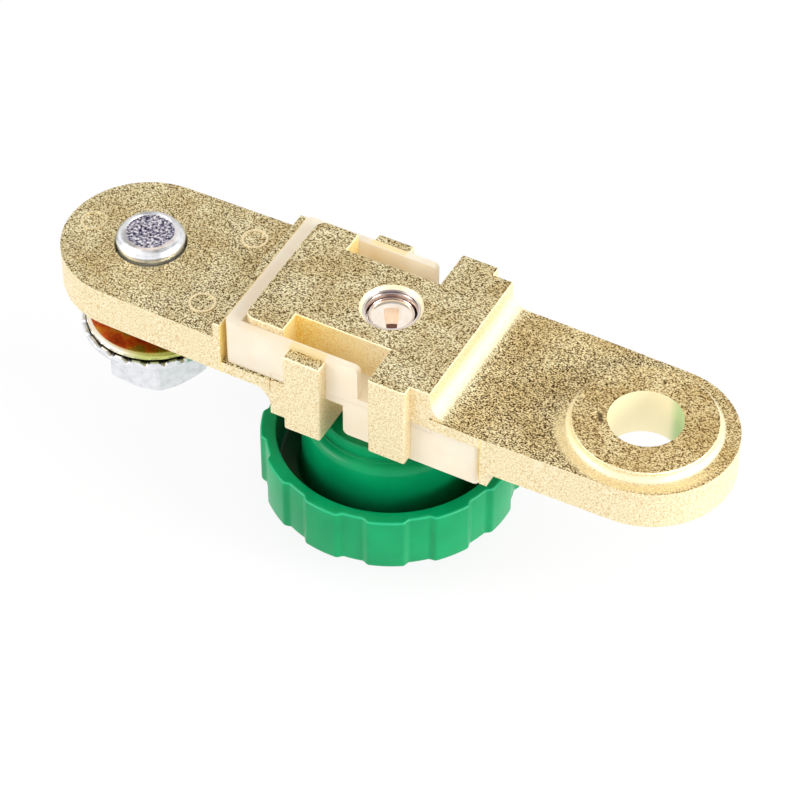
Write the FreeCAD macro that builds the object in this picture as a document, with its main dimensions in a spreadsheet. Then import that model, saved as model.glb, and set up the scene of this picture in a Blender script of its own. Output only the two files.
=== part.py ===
import FreeCAD, Part
import os

import Sketcher

# Battery link switch for a side-terminal battery, sizes in millimetres.
# Two identical metal castings lock into each other and are kept apart by two identical plastic
# trays. The knob's stud passes through the lower casting and threads into the upper one.
# Origin: on the knob's axis, in the plane that the knob's flat underside rests on.
# +Z runs up the stud, +X runs along the arms to the end with the raised terminal boss.

SIZES = {
    # Contact castings, measured from the mid-plane between them and from the stud's axis
    "hole_reach": 37.0,
    "arm_half_width": 12.0,
    "arm_end_radius": 11.65,
    "arm_end_offset": 0.74,
    "arm_thickness": 6.0,
    "terminal_hole_radius": 5.0,
    "boss_radius": 9.65,
    "boss_height": 1.5,
    "ridge_height": 2.5,
    "ridge_width": 1.1,
    "ridge_inset": 0.05,
    "block_rise": 7.46,
    "block_far_end": 16.5,
    "block_near_end": 11.9,
    "far_lobe_length": 6.0,
    "far_lobe_half_width": 10.4,
    "near_lobe_half_width": 11.85,
    "waist_half_width": 7.0,
    "post_start": 3.6,
    "post_width": 5.4,
    "post_thickness": 1.85,
    "post_reach": 5.75,
    "lobe_corner": 1.5,
    "cast_edge": 0.2,
    "post_edge": 0.3,
    "boss_foot": 1.2,
    "pin_mark_radius": 1.85,
    "pin_mark_width": 0.3,
    "pin_mark_height": 0.12,
    "pin_mark_spread": 7.05,
    "pin_mark_before_hole": 12.2,
    "pin_mark_past_hole": 9.0,
    # Insulator trays
    "tray_wall": 1.05,
    "tray_end_wall": 2.0,
    "tray_floor": 1.1,
    "tray_wall_height": 6.3,
    "tray_lip_reach": 1.1,
    "tray_corner": 0.7,
    "tray_lip_corner": 0.8,
    "tray_fit": 0.05,
    "tray_end_room": 0.3,
    "tray_step_room": 0.45,
    # Stud with its bore in the castings, threaded insert and insulating bush
    "stud_radius": 3.5,
    "stud_thread_fit": 0.05,
    "stud_air_gap": 0.35,
    "stud_nose_drop": 1.0,
    "stud_nose_below_top": 0.1,
    "stud_head_width": 11.0,
    "stud_head_height": 7.0,
    "insert_radius": 5.5,
    "insert_shoulder": 5.9,
    "insert_top_drop": 0.45,
    "bore_chamfer": 0.45,
    "seat_fit": 0.05,
    # Contact disc between the knob and the lower casting
    "disc_radius": 7.0,
    "disc_thickness": 1.9,
    "face_gap": 0.02,
    # Hand knob
    "knob_radius": 17.85,
    "knob_rim_height": 8.8,
    "knob_wall": 2.15,
    "knob_floor": 2.4,
    "knob_channel": 3.2,
    "knob_hub_inset": 0.5,
    "knob_hub_height": 12.9,
    "knob_hub_edge": 1.4,
    "knob_collar_step": 1.8,
    "knob_collar_height": 1.6,
    "knob_edge": 0.6,
    "flute_count": 12,
    "flute_depth": 0.6,
    "flute_radius": 3.25,
    "flute_edge": 0.8,
    "knob_angle": 10.6,
    # Terminal bolt and its dished washer
    "bolt_radius": 4.76,
    "bolt_length": 15.4,
    "bolt_tip_proud": 2.0,
    "bolt_shoulder": 0.8,
    "bolt_tip_radius": 3.95,
    "bolt_dimple_radius": 3.35,
    "bolt_dimple_depth": 0.15,
    "flange_radius": 10.2,
    "flange_thickness": 1.25,
    "flange_edge": 0.35,
    "bolt_head_width": 13.2,
    "bolt_head_height": 7.3,
    "bolt_head_chamfer": 0.3,
    "tooth_count": 24,
    "tooth_depth": 0.5,
    "tooth_width": 1.5,
    "tooth_length": 2.6,
    "washer_radius": 9.55,
    "washer_bore_radius": 5.1,
    "washer_thickness": 0.9,
    "washer_rise": 1.4,
    "washer_rest": 0.02,
    "bolt_angle": 33.0,
}


class Size:
    """A number together with the sheet expression that gives it."""

    def __init__(self, number, text):
        self.number = float(number)
        self.text = text

    def __add__(self, other):
        other = as_size(other)
        return Size(self.number + other.number, f"({self.text} + {other.text})")

    def __sub__(self, other):
        other = as_size(other)
        return Size(self.number - other.number, f"({self.text} - {other.text})")

    def __mul__(self, other):
        other = as_size(other)
        return Size(self.number * other.number, f"({self.text} * {other.text})")

    def __truediv__(self, other):
        other = as_size(other)
        return Size(self.number / other.number, f"({self.text} / {other.text})")

    def __neg__(self):
        return Size(-self.number, f"(0 - {self.text})")


def as_size(value):
    """A bare number becomes a Size whose expression is that number."""
    if isinstance(value, Size):
        return value
    return Size(value, f"{float(value):.6f}")


def named(alias):
    """The driving size that the sheet holds under this alias."""
    return Size(SIZES[alias], f"Sizes.{alias}")


doc = FreeCAD.newDocument("battery_link_switch")
sheet = doc.addObject("Spreadsheet::Sheet", "Sizes")
for row, (alias, number) in enumerate(SIZES.items(), start=1):
    sheet.set(f"A{row}", alias.replace("_", " "))
    sheet.set(f"B{row}", str(number))
    sheet.setAlias(f"B{row}", alias)
doc.recompute()

ORIGIN = Size(0, "0")
TOUCH = 0.001
SIN_60 = 0.866025


def bind(thing, prop, size):
    """Set a property to a size and keep it tied to the sheet."""
    thing.setExpression(prop, size.text)


def new_body(label, x=ORIGIN, z=ORIGIN, turn=ORIGIN, turned_over=False):
    """A body whose own frame stands at (x, 0, z), turned about Z by an angle in degrees, or
    turned half round about Y where it is the lower one of an identical pair."""
    body = doc.addObject("PartDesign::Body", label)
    body.Label = label
    axis = FreeCAD.Vector(0, 1, 0) if turned_over else FreeCAD.Vector(0, 0, 1)
    angle = 180 if turned_over else turn.number
    body.Placement = FreeCAD.Placement(
        FreeCAD.Vector(x.number, 0, z.number), FreeCAD.Rotation(axis, angle))
    bind(body, "Placement.Base.x", x)
    bind(body, "Placement.Base.z", z)
    if not turned_over and turn is not ORIGIN:
        bind(body, "Placement.Rotation.Angle", turn)
    return body


def plane_sketch(body, name, role, height=ORIGIN):
    """A sketch on one of the body's origin planes, shifted along the plane's normal."""
    sketch = body.newObject("Sketcher::SketchObject", name)
    plane = [item for item in body.Origin.OriginFeatures if item.Role == role][0]
    sketch.AttachmentSupport = [(plane, "")]
    sketch.MapMode = "FlatFace"
    offset = FreeCAD.Vector(0, 0, height.number)
    sketch.AttachmentOffset = FreeCAD.Placement(offset, FreeCAD.Rotation())
    bind(sketch, "AttachmentOffset.Base.z", height)
    return sketch


def flat_sketch(body, name, height=ORIGIN):
    """A sketch seen from above, at a height in the body's frame."""
    return plane_sketch(body, name, "XY_Plane", height)


def profile_sketch(body, name):
    """A sketch in the XZ plane: its x is the radius and its y is the height."""
    return plane_sketch(body, name, "XZ_Plane")


def hold_point(sketch, geometry, which, x, y):
    """Tie one end of a sketched curve to a place given by two sizes."""
    row = sketch.addConstraint(Sketcher.Constraint("DistanceX", -1, 1, geometry, which, x.number))
    bind(sketch, f"Constraints[{row}]", x)
    row = sketch.addConstraint(Sketcher.Constraint("DistanceY", -1, 1, geometry, which, y.number))
    bind(sketch, f"Constraints[{row}]", y)


def polygon(sketch, corners):
    """A closed outline of straight lines through corners given as pairs of sizes."""
    corners = [(as_size(x), as_size(y)) for x, y in corners]
    first = sketch.GeometryCount
    ends = [FreeCAD.Vector(x.number, y.number, 0) for x, y in corners]
    for start, end in zip(ends, ends[1:] + ends[:1]):
        sketch.addGeometry(Part.LineSegment(start, end), False)
    for step, (x, y) in enumerate(corners):
        line = first + step
        following = first + (step + 1) % len(corners)
        sketch.addConstraint(Sketcher.Constraint("Coincident", line, 2, following, 1))
        hold_point(sketch, line, 1, x, y)


def circle(sketch, x, y, radius):
    """A circle with its centre and radius tied to sizes."""
    x, y = as_size(x), as_size(y)
    centre = FreeCAD.Vector(x.number, y.number, 0)
    ring = sketch.addGeometry(Part.Circle(centre, FreeCAD.Vector(0, 0, 1), radius.number), False)
    hold_point(sketch, ring, 3, x, y)
    row = sketch.addConstraint(Sketcher.Constraint("Radius", ring, radius.number))
    bind(sketch, f"Constraints[{row}]", radius)


def rectangle(sketch, x_low, x_high, y_low, y_high):
    polygon(sketch, [(x_low, y_low), (x_high, y_low), (x_high, y_high), (x_low, y_high)])


def hexagon(sketch, flats):
    """A hexagon about the origin, with a corner on each side along sketch y."""
    half = flats / 2
    corner = half / SIN_60
    polygon(
        sketch,
        [(half, -corner / 2), (half, corner / 2), (ORIGIN, corner),
         (-half, corner / 2), (-half, -corner / 2), (ORIGIN, -corner)],
    )


def pad(body, name, sketch, length):
    feature = body.newObject("PartDesign::Pad", name)
    feature.Profile = sketch
    bind(feature, "Length", length)
    feature.Refine = True
    doc.recompute()
    return feature


def pocket(body, name, sketch, depth):
    """Cut downwards from the sketch, and make sure that the cut took something away."""
    before = body.Tip.Shape.Volume
    feature = body.newObject("PartDesign::Pocket", name)
    feature.Profile = sketch
    bind(feature, "Length", depth)
    doc.recompute()
    if feature.Shape.Volume > before - TOUCH:
        feature.Reversed = True
        doc.recompute()
    if feature.Shape.Volume > before - TOUCH:
        raise RuntimeError(f"{name} cuts nothing")
    return feature


def turned(body, name, sketch, kind="PartDesign::Revolution"):
    """Turn a profile right round the body's Z axis, as added or removed material."""
    feature = body.newObject(kind, name)
    feature.Profile = sketch
    feature.ReferenceAxis = (sketch, ["V_Axis"])
    feature.Angle = 360
    doc.recompute()
    return feature


def around(body, name, original, count, axis="N_Axis"):
    """Repeat a cut round the body's Z axis, which its own sketch calls by the given name."""
    feature = body.newObject("PartDesign::PolarPattern", name)
    feature.Originals = [original]
    feature.Axis = (original.Profile[0], [axis])
    feature.Angle = 360
    bind(feature, "Occurrences", count)
    body.Tip = feature
    doc.recompute()
    return feature


def near(first, second, slack=0.02):
    return abs(first - second) < slack


def upright_at(edge, x, y):
    """True for a vertical straight edge at this plan position."""
    box = edge.BoundBox
    return (box.ZLength > 0.5 and box.XLength < TOUCH and box.YLength < TOUCH
            and near(box.XMin, x.number) and near(abs(box.YMin), y.number))


def level_at(edge, height):
    """True for an edge that lies flat at this height."""
    box = edge.BoundBox
    return box.ZLength < TOUCH and near(box.ZMin, height.number)


def rounded(body, name, radius, pick):
    """Round every edge that the pick function accepts."""
    shape = body.Tip.Shape
    names = [f"Edge{n}" for n, edge in enumerate(shape.Edges, start=1) if pick(edge)]
    if not names:
        raise RuntimeError(f"{name} finds no edge")
    base = body.Tip
    feature = body.newObject("PartDesign::Fillet", name)
    feature.Base = (base, names)
    bind(feature, "Radius", radius)
    doc.recompute()
    if "Invalid" in feature.State or not feature.Shape.isValid():
        raise RuntimeError(f"{name} fails on {names}")
    return feature


# Places shared by several pieces
arm_half = named("arm_thickness") / 2
block_seat = named("tray_floor") + named("tray_fit")
tray_inner = named("far_lobe_half_width") + named("tray_fit")
tray_outer = tray_inner + named("tray_wall")
tray_end_inner = named("block_far_end") + named("tray_end_room")
tray_end = tray_end_inner + named("tray_end_wall")
step_face = tray_end + named("tray_step_room")
post_inner = tray_outer + named("tray_fit")
post_outer = post_inner + named("post_thickness")
post_end = named("post_start") + named("post_width")
neck_radius = named("stud_radius") + named("stud_air_gap")
stud_bore = named("stud_radius") + named("stud_thread_fit")
collar_top = named("knob_hub_height") + named("knob_collar_height")
disc_bottom = collar_top + named("face_gap")
block_underside = disc_bottom + named("disc_thickness") + named("face_gap")
mid_plane = block_underside + named("block_rise")
bolt_seat = mid_plane + arm_half + named("bolt_tip_proud") - named("bolt_length")


def contact_casting(label, turned_over):
    """One of the two identical castings, in the upper one's position: arm towards +X, block
    over the stud, and a post each side that reaches down past the other casting's waist."""
    body = new_body(label, z=mid_plane, turned_over=turned_over)
    reach = named("hole_reach")
    end_centre = reach + named("arm_end_offset")
    half_width = named("arm_half_width")
    end_radius = named("arm_end_radius")
    top = named("block_rise")
    near_end = named("block_near_end")
    far_end = named("block_far_end")
    far_half = named("far_lobe_half_width")
    near_half = named("near_lobe_half_width")
    waist = named("waist_half_width")
    start = named("post_start")
    notch = far_end - named("far_lobe_length")

    sketch = flat_sketch(body, "arm_outline", -arm_half)
    polygon(sketch, [(step_face, -half_width), (end_centre, -end_radius),
                     (end_centre, end_radius), (step_face, half_width)])
    pad(body, "arm", sketch, named("arm_thickness"))
    sketch = flat_sketch(body, "arm_end_outline", -arm_half)
    circle(sketch, end_centre, 0, end_radius)
    pad(body, "arm_end", sketch, named("arm_thickness"))

    # The thin web runs over the end of the tray to the tall block
    sketch = flat_sketch(body, "web_outline", block_seat)
    rectangle(sketch, near_end, step_face, -half_width, half_width)
    pad(body, "web", sketch, arm_half - block_seat)
    sketch = flat_sketch(body, "ridge_outline", -arm_half - named("ridge_height"))
    ridge_half = half_width - named("ridge_inset")
    rectangle(sketch, step_face, step_face + named("ridge_width"), -ridge_half, ridge_half)
    pad(body, "ridge", sketch, named("ridge_height"))

    # Block with a far lobe inside its tray, a waist, and a near lobe that carries the posts
    sketch = flat_sketch(body, "block_outline", block_seat)
    polygon(
        sketch,
        [(-far_end, -far_half), (-notch, -far_half), (-notch, -waist), (start, -waist),
         (start, -post_outer), (post_end, -post_outer), (post_end, -near_half),
         (near_end, -near_half), (near_end, near_half), (post_end, near_half),
         (post_end, post_outer), (start, post_outer), (start, waist), (-notch, waist),
         (-notch, far_half), (-far_end, far_half)],
    )
    pad(body, "block", sketch, top - block_seat)
    for side, name in ((-1, "front"), (1, "back")):
        sketch = flat_sketch(body, f"{name}_post_outline", -named("post_reach"))
        rectangle(sketch, start, post_end, post_inner * side, post_outer * side)
        pad(body, f"{name}_post", sketch, named("post_reach") + block_seat)

    sketch = flat_sketch(body, "boss_outline", arm_half)
    circle(sketch, reach, 0, named("boss_radius"))
    pad(body, "boss", sketch, named("boss_height"))

    rounded(body, "lobe_corners", named("lobe_corner"),
            lambda edge: upright_at(edge, -far_end, far_half))
    rounded(body, "post_corners", named("post_edge"),
            lambda edge: upright_at(edge, start, post_outer) or upright_at(edge, post_end, post_outer))
    rounded(body, "post_ends", named("post_edge"),
            lambda edge: level_at(edge, -named("post_reach"))
            and abs(edge.CenterOfMass.y) > post_inner.number + TOUCH)
    rounded(body, "block_top_edge", named("cast_edge"), lambda edge: level_at(edge, top))
    rounded(body, "boss_top_edge", named("cast_edge"),
            lambda edge: level_at(edge, arm_half + named("boss_height")))
    rounded(body, "boss_foot_fillet", named("boss_foot"),
            lambda edge: level_at(edge, arm_half) and edge.BoundBox.XLength > named("boss_radius").number
            and near(edge.CenterOfMass.x, reach.number))
    rounded(body, "ridge_edge", named("cast_edge"),
            lambda edge: level_at(edge, -arm_half - named("ridge_height"))
            and edge.BoundBox.XMin > step_face.number - TOUCH)

    # Terminal hole, and the stud's stepped bore with its countersink
    sketch = flat_sketch(body, "terminal_hole_outline", arm_half + named("boss_height"))
    circle(sketch, reach, 0, named("terminal_hole_radius"))
    pocket(body, "terminal_hole", sketch, named("arm_thickness") + named("boss_height"))
    rim = neck_radius + named("bore_chamfer")
    sketch = profile_sketch(body, "stud_bore_profile")
    polygon(
        sketch,
        [(0, block_seat), (named("insert_radius"), block_seat),
         (named("insert_radius"), named("insert_shoulder")), (neck_radius, named("insert_shoulder")),
         (neck_radius, top - named("bore_chamfer")), (rim, top), (0, top)],
    )
    turned(body, "stud_bore", sketch, "PartDesign::Groove")

    # Thin raised rings that the ejector pins left on the arm's flat face
    sketch = flat_sketch(body, "pin_mark_outline", -arm_half - named("pin_mark_height"))
    spread = named("pin_mark_spread")
    mark = named("pin_mark_radius")
    inner = reach - named("pin_mark_before_hole")
    outer = reach + named("pin_mark_past_hole")
    places = ((inner, spread), (inner, -spread), (outer, ORIGIN))
    for x, y in places:
        circle(sketch, x, y, mark)
        circle(sketch, x, y, mark - named("pin_mark_width"))
    pad(body, "pin_marks", sketch, named("pin_mark_height"))
    return body


def insulator_tray(label, turned_over):
    """One of the two identical trays, in the upper one's position: it holds the upper block's
    far lobe and its floor runs on under the near lobe, where it laps the other tray's floor."""
    body = new_body(label, z=mid_plane, turned_over=turned_over)
    floor = named("tray_floor")
    lap = named("tray_fit") / 2
    lip = named("tray_lip_reach")
    height = named("tray_wall_height")
    near_end = named("block_near_end")

    sketch = flat_sketch(body, "floor_outline", lap)
    rectangle(sketch, -tray_end, near_end - lap, -tray_outer, tray_outer)
    pad(body, "floor", sketch, floor - lap)
    sketch = flat_sketch(body, "deep_floor_outline", -floor)
    rectangle(sketch, -tray_end, -near_end - lap, -tray_outer, tray_outer)
    pad(body, "deep_floor", sketch, floor + lap)
    sketch = flat_sketch(body, "wall_outline", floor)
    polygon(
        sketch,
        [(-tray_end, -tray_outer), (lip, -tray_outer), (lip, -tray_inner),
         (-tray_end_inner, -tray_inner), (-tray_end_inner, tray_inner), (lip, tray_inner),
         (lip, tray_outer), (-tray_end, tray_outer)],
    )
    pad(body, "walls", sketch, height - floor)

    rounded(body, "outer_corners", named("tray_corner"),
            lambda edge: upright_at(edge, -tray_end, tray_outer))
    rounded(body, "lip_corners", named("tray_lip_corner"),
            lambda edge: level_at(edge, height) and near(edge.CenterOfMass.x, lip.number)
            and near(edge.BoundBox.YLength, named("tray_wall").number))

    sketch = flat_sketch(body, "stud_hole_outline", floor)
    circle(sketch, 0, 0, neck_radius)
    pocket(body, "stud_hole", sketch, floor * 2)
    return body


def threaded_insert():
    """Steel nut pressed into the upper casting from below; its neck shows round the stud."""
    body = new_body("threaded_insert", z=mid_plane)
    fit = named("seat_fit")
    outer = named("insert_radius") - fit
    neck = neck_radius - fit
    shoulder = named("insert_shoulder") - fit
    top = named("block_rise") - named("insert_top_drop")
    sketch = profile_sketch(body, "insert_profile")
    polygon(sketch, [(stud_bore, block_seat), (outer, block_seat), (outer, shoulder),
                     (neck, shoulder), (neck, top), (stud_bore, top)])
    turned(body, "insert_ring", sketch)
    return body


def insulating_bush():
    """Nylon bush in the lower casting that keeps the stud off the metal."""
    body = new_body("insulating_bush", z=mid_plane, turned_over=True)
    fit = named("seat_fit")
    outer = named("insert_radius") - fit
    shoulder = named("insert_shoulder") - fit
    sketch = profile_sketch(body, "bush_profile")
    polygon(sketch, [(neck_radius, block_seat), (outer, block_seat), (outer, shoulder),
                     (neck_radius, shoulder)])
    turned(body, "bush_ring", sketch)
    return body


def clamp_stud():
    """Stud with a hexagon head that sits in the knob's hub and a rounded copper-coloured nose."""
    body = new_body("clamp_stud", z=collar_top, turn=named("knob_angle"))
    head = named("stud_head_height")
    radius = named("stud_radius")
    nose_top = mid_plane + named("block_rise") - named("stud_nose_below_top") - collar_top
    nose_foot = nose_top - named("stud_nose_drop")
    sketch = flat_sketch(body, "head_outline", -head)
    hexagon(sketch, named("stud_head_width"))
    pad(body, "head", sketch, head)
    sketch = flat_sketch(body, "shank_outline")
    circle(sketch, 0, 0, radius)
    pad(body, "shank", sketch, nose_top)
    rounded(body, "nose", nose_top - nose_foot, lambda edge: level_at(edge, nose_top))
    return body


def contact_disc():
    """Brass disc that the knob's hub presses against the lower casting."""
    body = new_body("contact_disc", z=disc_bottom)
    sketch = flat_sketch(body, "disc_outline")
    circle(sketch, 0, 0, named("disc_radius"))
    circle(sketch, 0, 0, stud_bore)
    pad(body, "disc", sketch, named("disc_thickness"))
    return body


def hand_knob():
    """Fluted moulded knob: an open cup with a stepped hub that holds the stud's head."""
    body = new_body("hand_knob", turn=named("knob_angle"))
    outer = named("knob_radius")
    cup = outer - named("knob_wall")
    hub_foot = cup - named("knob_channel")
    hub_edge = hub_foot - named("knob_hub_inset")
    collar = hub_edge - named("knob_collar_step")
    rim = named("knob_rim_height")
    floor = named("knob_floor")
    hub = named("knob_hub_height")
    sketch = profile_sketch(body, "knob_profile")
    polygon(
        sketch,
        [(0, 0), (outer, 0), (outer, rim), (cup, rim), (cup, floor),
         (hub_foot, floor), (hub_edge, hub), (collar, hub), (collar, collar_top),
         (0, collar_top)],
    )
    turned(body, "knob_turning", sketch)
    rounded(body, "hub_edge", named("knob_hub_edge"),
            lambda edge: level_at(edge, hub) and near(edge.BoundBox.XMax, hub_edge.number))
    flute = named("flute_radius")
    sketch = flat_sketch(body, "flute_outline", rim)
    circle(sketch, outer - named("flute_depth") + flute, 0, flute)
    cut = pocket(body, "flute", sketch, rim)
    around(body, "flutes", cut, named("flute_count"))
    rounded(body, "flute_edges", named("flute_edge"),
            lambda edge: near(edge.BoundBox.ZLength, rim.number) and edge.BoundBox.XLength < TOUCH
            and near((edge.CenterOfMass.x ** 2 + edge.CenterOfMass.y ** 2) ** 0.5, outer.number))
    rounded(body, "rim_edges", named("knob_edge"),
            lambda edge: (level_at(edge, rim) or level_at(edge, ORIGIN))
            and (edge.Vertexes[0].X ** 2 + edge.Vertexes[0].Y ** 2) ** 0.5 > cup.number + TOUCH)
    sketch = flat_sketch(body, "head_pocket_outline", collar_top)
    hexagon(sketch, named("stud_head_width") + named("seat_fit") * 2)
    pocket(body, "head_pocket", sketch, named("stud_head_height") + named("seat_fit"))
    return body


def terminal_bolt():
    """Flanged hexagon bolt for the battery's side terminal, its thread drawn as a plain shank."""
    body = new_body("terminal_bolt", x=-named("hole_reach"), z=bolt_seat, turn=named("bolt_angle"))
    radius = named("bolt_radius")
    length = named("bolt_length")
    shoulder = length - named("bolt_shoulder")
    flange = named("flange_radius")
    thickness = named("flange_thickness")
    tip = named("bolt_tip_radius")
    dimple = named("bolt_dimple_radius")
    depth = named("bolt_dimple_depth")
    bevel = named("flange_edge")
    sketch = profile_sketch(body, "bolt_profile")
    polygon(
        sketch,
        [(0, -thickness), (flange - bevel, -thickness), (flange, -thickness + bevel),
         (flange, -bevel), (flange - bevel, 0), (radius, 0), (radius, shoulder), (tip, length),
         (dimple, length), (dimple, length - depth), (0, length - depth)],
    )
    turned(body, "bolt_turning", sketch)
    sketch = flat_sketch(body, "head_outline", -thickness - named("bolt_head_height"))
    hexagon(sketch, named("bolt_head_width"))
    pad(body, "head", sketch, named("bolt_head_height"))

    # The cone that takes the corners off the head's outer end
    chamfer = named("bolt_head_chamfer")
    bottom = -thickness - named("bolt_head_height")
    corner = named("bolt_head_width") / (2 * SIN_60)
    sketch = profile_sketch(body, "head_cone_profile")
    polygon(sketch, [(corner - chamfer, bottom), (corner + chamfer, bottom),
                     (corner + chamfer, bottom + chamfer)])
    turned(body, "head_cone", sketch, "PartDesign::Groove")

    # Radial grooves that leave the flange's locking teeth
    sketch = plane_sketch(body, "tooth_groove_outline", "YZ_Plane", flange - named("tooth_length"))
    half = named("tooth_width") / 2
    polygon(sketch, [(-half, 0), (0, -named("tooth_depth")), (half, 0)])
    cut = pocket(body, "tooth_groove", sketch, named("tooth_length"))
    around(body, "teeth", cut, named("tooth_count"), "V_Axis")
    return body


def dished_washer():
    """Conical washer that rests its rim on the bolt's teeth."""
    body = new_body("dished_washer", x=-named("hole_reach"), z=bolt_seat + named("washer_rest"))
    bore = named("washer_bore_radius")
    rise = named("washer_rise")
    thickness = named("washer_thickness")
    sketch = profile_sketch(body, "washer_profile")
    polygon(sketch, [(named("washer_radius"), 0), (named("washer_radius"), thickness),
                     (bore, rise + thickness), (bore, rise)])
    turned(body, "washer_ring", sketch)
    return body


bodies = [
    contact_casting("upper_contact_casting", False),
    contact_casting("lower_contact_casting", True),
    insulator_tray("upper_insulator_tray", False),
    insulator_tray("lower_insulator_tray", True),
    threaded_insert(),
    insulating_bush(),
    clamp_stud(),
    contact_disc(),
    hand_knob(),
    terminal_bolt(),
    dished_washer(),
]
doc.recompute()

for item in doc.Objects:
    if "Invalid" in item.State or "Error" in item.State:
        raise RuntimeError(f"{item.Label} is {item.State}")
for body in bodies:
    if body.Shape.isNull() or not body.Shape.isValid() or len(body.Shape.Solids) != 1:
        raise RuntimeError(f"{body.Label} is not one valid solid")

os.makedirs("parts", exist_ok=True)
for body in bodies:
    body.Shape.exportStep(f"parts/{body.Label}.step")
    box = body.Shape.BoundBox
    print(f"{body.Label:24s} volume {body.Shape.Volume:9.1f} mm3  "
          f"x {box.XMin:7.2f} {box.XMax:7.2f}  y {box.YMin:7.2f} {box.YMax:7.2f}  "
          f"z {box.ZMin:7.2f} {box.ZMax:7.2f}")
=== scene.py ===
# %% [markdown]
# # A battery link switch, dressed for its portrait
# The switch joins a battery's side terminal to its cable. Two identical cast arms lock into each
# other, milky plastic trays keep them apart, and a green knob below screws them together or apart.
# The imported model brings every solid at its real size and place. This script measures the
# solids' boxes where it can, and repeats some of the model's own sizes where it can't.

from math import atan2, cos, degrees, hypot, pi, radians, sin

import bmesh
import bpy
from mathutils import Matrix, Vector


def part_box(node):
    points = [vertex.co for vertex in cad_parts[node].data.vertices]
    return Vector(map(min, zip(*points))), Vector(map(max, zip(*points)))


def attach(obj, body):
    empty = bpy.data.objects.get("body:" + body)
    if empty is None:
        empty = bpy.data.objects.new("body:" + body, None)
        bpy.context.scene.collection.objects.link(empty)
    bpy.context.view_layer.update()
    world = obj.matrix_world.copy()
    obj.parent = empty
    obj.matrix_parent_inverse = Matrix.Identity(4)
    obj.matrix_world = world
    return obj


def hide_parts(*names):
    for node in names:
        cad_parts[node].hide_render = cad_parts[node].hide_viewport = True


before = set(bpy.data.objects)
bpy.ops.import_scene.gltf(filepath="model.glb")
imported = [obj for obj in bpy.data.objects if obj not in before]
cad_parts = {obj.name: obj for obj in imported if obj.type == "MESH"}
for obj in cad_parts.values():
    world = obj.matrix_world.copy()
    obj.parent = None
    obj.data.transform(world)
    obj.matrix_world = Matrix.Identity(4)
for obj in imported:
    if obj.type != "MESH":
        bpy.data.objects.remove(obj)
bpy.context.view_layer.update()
MM = 0.001

# %% [markdown]
# ## The camera
# The photographer stood a little to the right, looking down at about 45 degrees through a long
# lens, and the picture was then cropped. A lens is a focal length in millimetres on a 36 mm wide
# sensor; a crop is a small shift. The camera could be aimed with a Track To constraint, but its
# three axes are written down here instead, because they come straight from the solved view.

# %% Camera at the photograph's angle
AZIMUTH, ELEVATION, ROLL = radians(28.614), radians(45.459), radians(-0.323)
CAMERA_PLACE = Vector((156.866, -293.642, 353.407)) * MM
FOCAL_PIXELS, PICTURE_PIXELS, SENSOR = 3530.508, 800, 36
CENTRE_X, CENTRE_Y = 369.805, 394.277

backwards = Vector((sin(AZIMUTH) * cos(ELEVATION), -cos(AZIMUTH) * cos(ELEVATION), sin(ELEVATION)))
level_right = Vector((cos(AZIMUTH), sin(AZIMUTH), 0))
level_up = backwards.cross(level_right)
right = level_right * cos(ROLL) + level_up * sin(ROLL)
up = level_up * cos(ROLL) - level_right * sin(ROLL)


def show(name, data):
    """Put data into the scene as an object at the origin."""
    made = bpy.data.objects.new(name, data)
    bpy.context.scene.collection.objects.link(made)
    return made


camera = show("camera", bpy.data.cameras.new("camera"))
camera.data.sensor_width = SENSOR
camera.data.lens = FOCAL_PIXELS * SENSOR / PICTURE_PIXELS
camera.data.shift_x = (PICTURE_PIXELS / 2 - CENTRE_X) / PICTURE_PIXELS
camera.data.shift_y = (CENTRE_Y - PICTURE_PIXELS / 2) / PICTURE_PIXELS
camera.data.clip_start, camera.data.clip_end = 0.01, 10
axes = Matrix((right, up, backwards)).transposed()
camera.matrix_world = Matrix.Translation(CAMERA_PLACE) @ axes.to_4x4()
bpy.context.scene.camera = camera
print("lens", round(camera.data.lens, 1), "mm")
print("shift", round(camera.data.shift_x, 4), round(camera.data.shift_y, 4))

# %% [markdown]
# ## Writing materials as arithmetic
# A procedural material is a graph of nodes. Linking dozens of Math nodes by hand hides the idea,
# so one small class stands for a wire in the graph. Adding or multiplying wires adds the nodes.
# Every other kind of node comes from one method, which sets the node up and plugs in its inputs.
# A mask is a wire that is 1 where something shows and 0 elsewhere, with a soft slope between.

# %% Wires and finishes
class Wire:
    """What leaves one socket of a material's node."""

    def __init__(self, finish, socket):
        self.finish, self.socket = finish, socket

    def maths(self, operation, *others):
        inputs = dict(enumerate((self, *others)))
        return self.finish.node("ShaderNodeMath", {"operation": operation}, inputs)

    def __add__(self, other):
        return self.maths("ADD", other)

    def __mul__(self, other):
        return self.maths("MULTIPLY", other)

    def __sub__(self, other):
        return self.maths("SUBTRACT", other)

    def __rsub__(self, other):
        return self.finish.node("ShaderNodeMath", {"operation": "SUBTRACT"}, {0: other, 1: self})

    def __pow__(self, other):
        return self.maths("POWER", other)

    __radd__, __rmul__ = __add__, __mul__

    def at_least(self, other):
        return self.maths("MAXIMUM", other)

    def size(self):
        return self.maths("ABSOLUTE")

    def sign(self):
        return self.maths("SIGN")


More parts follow.
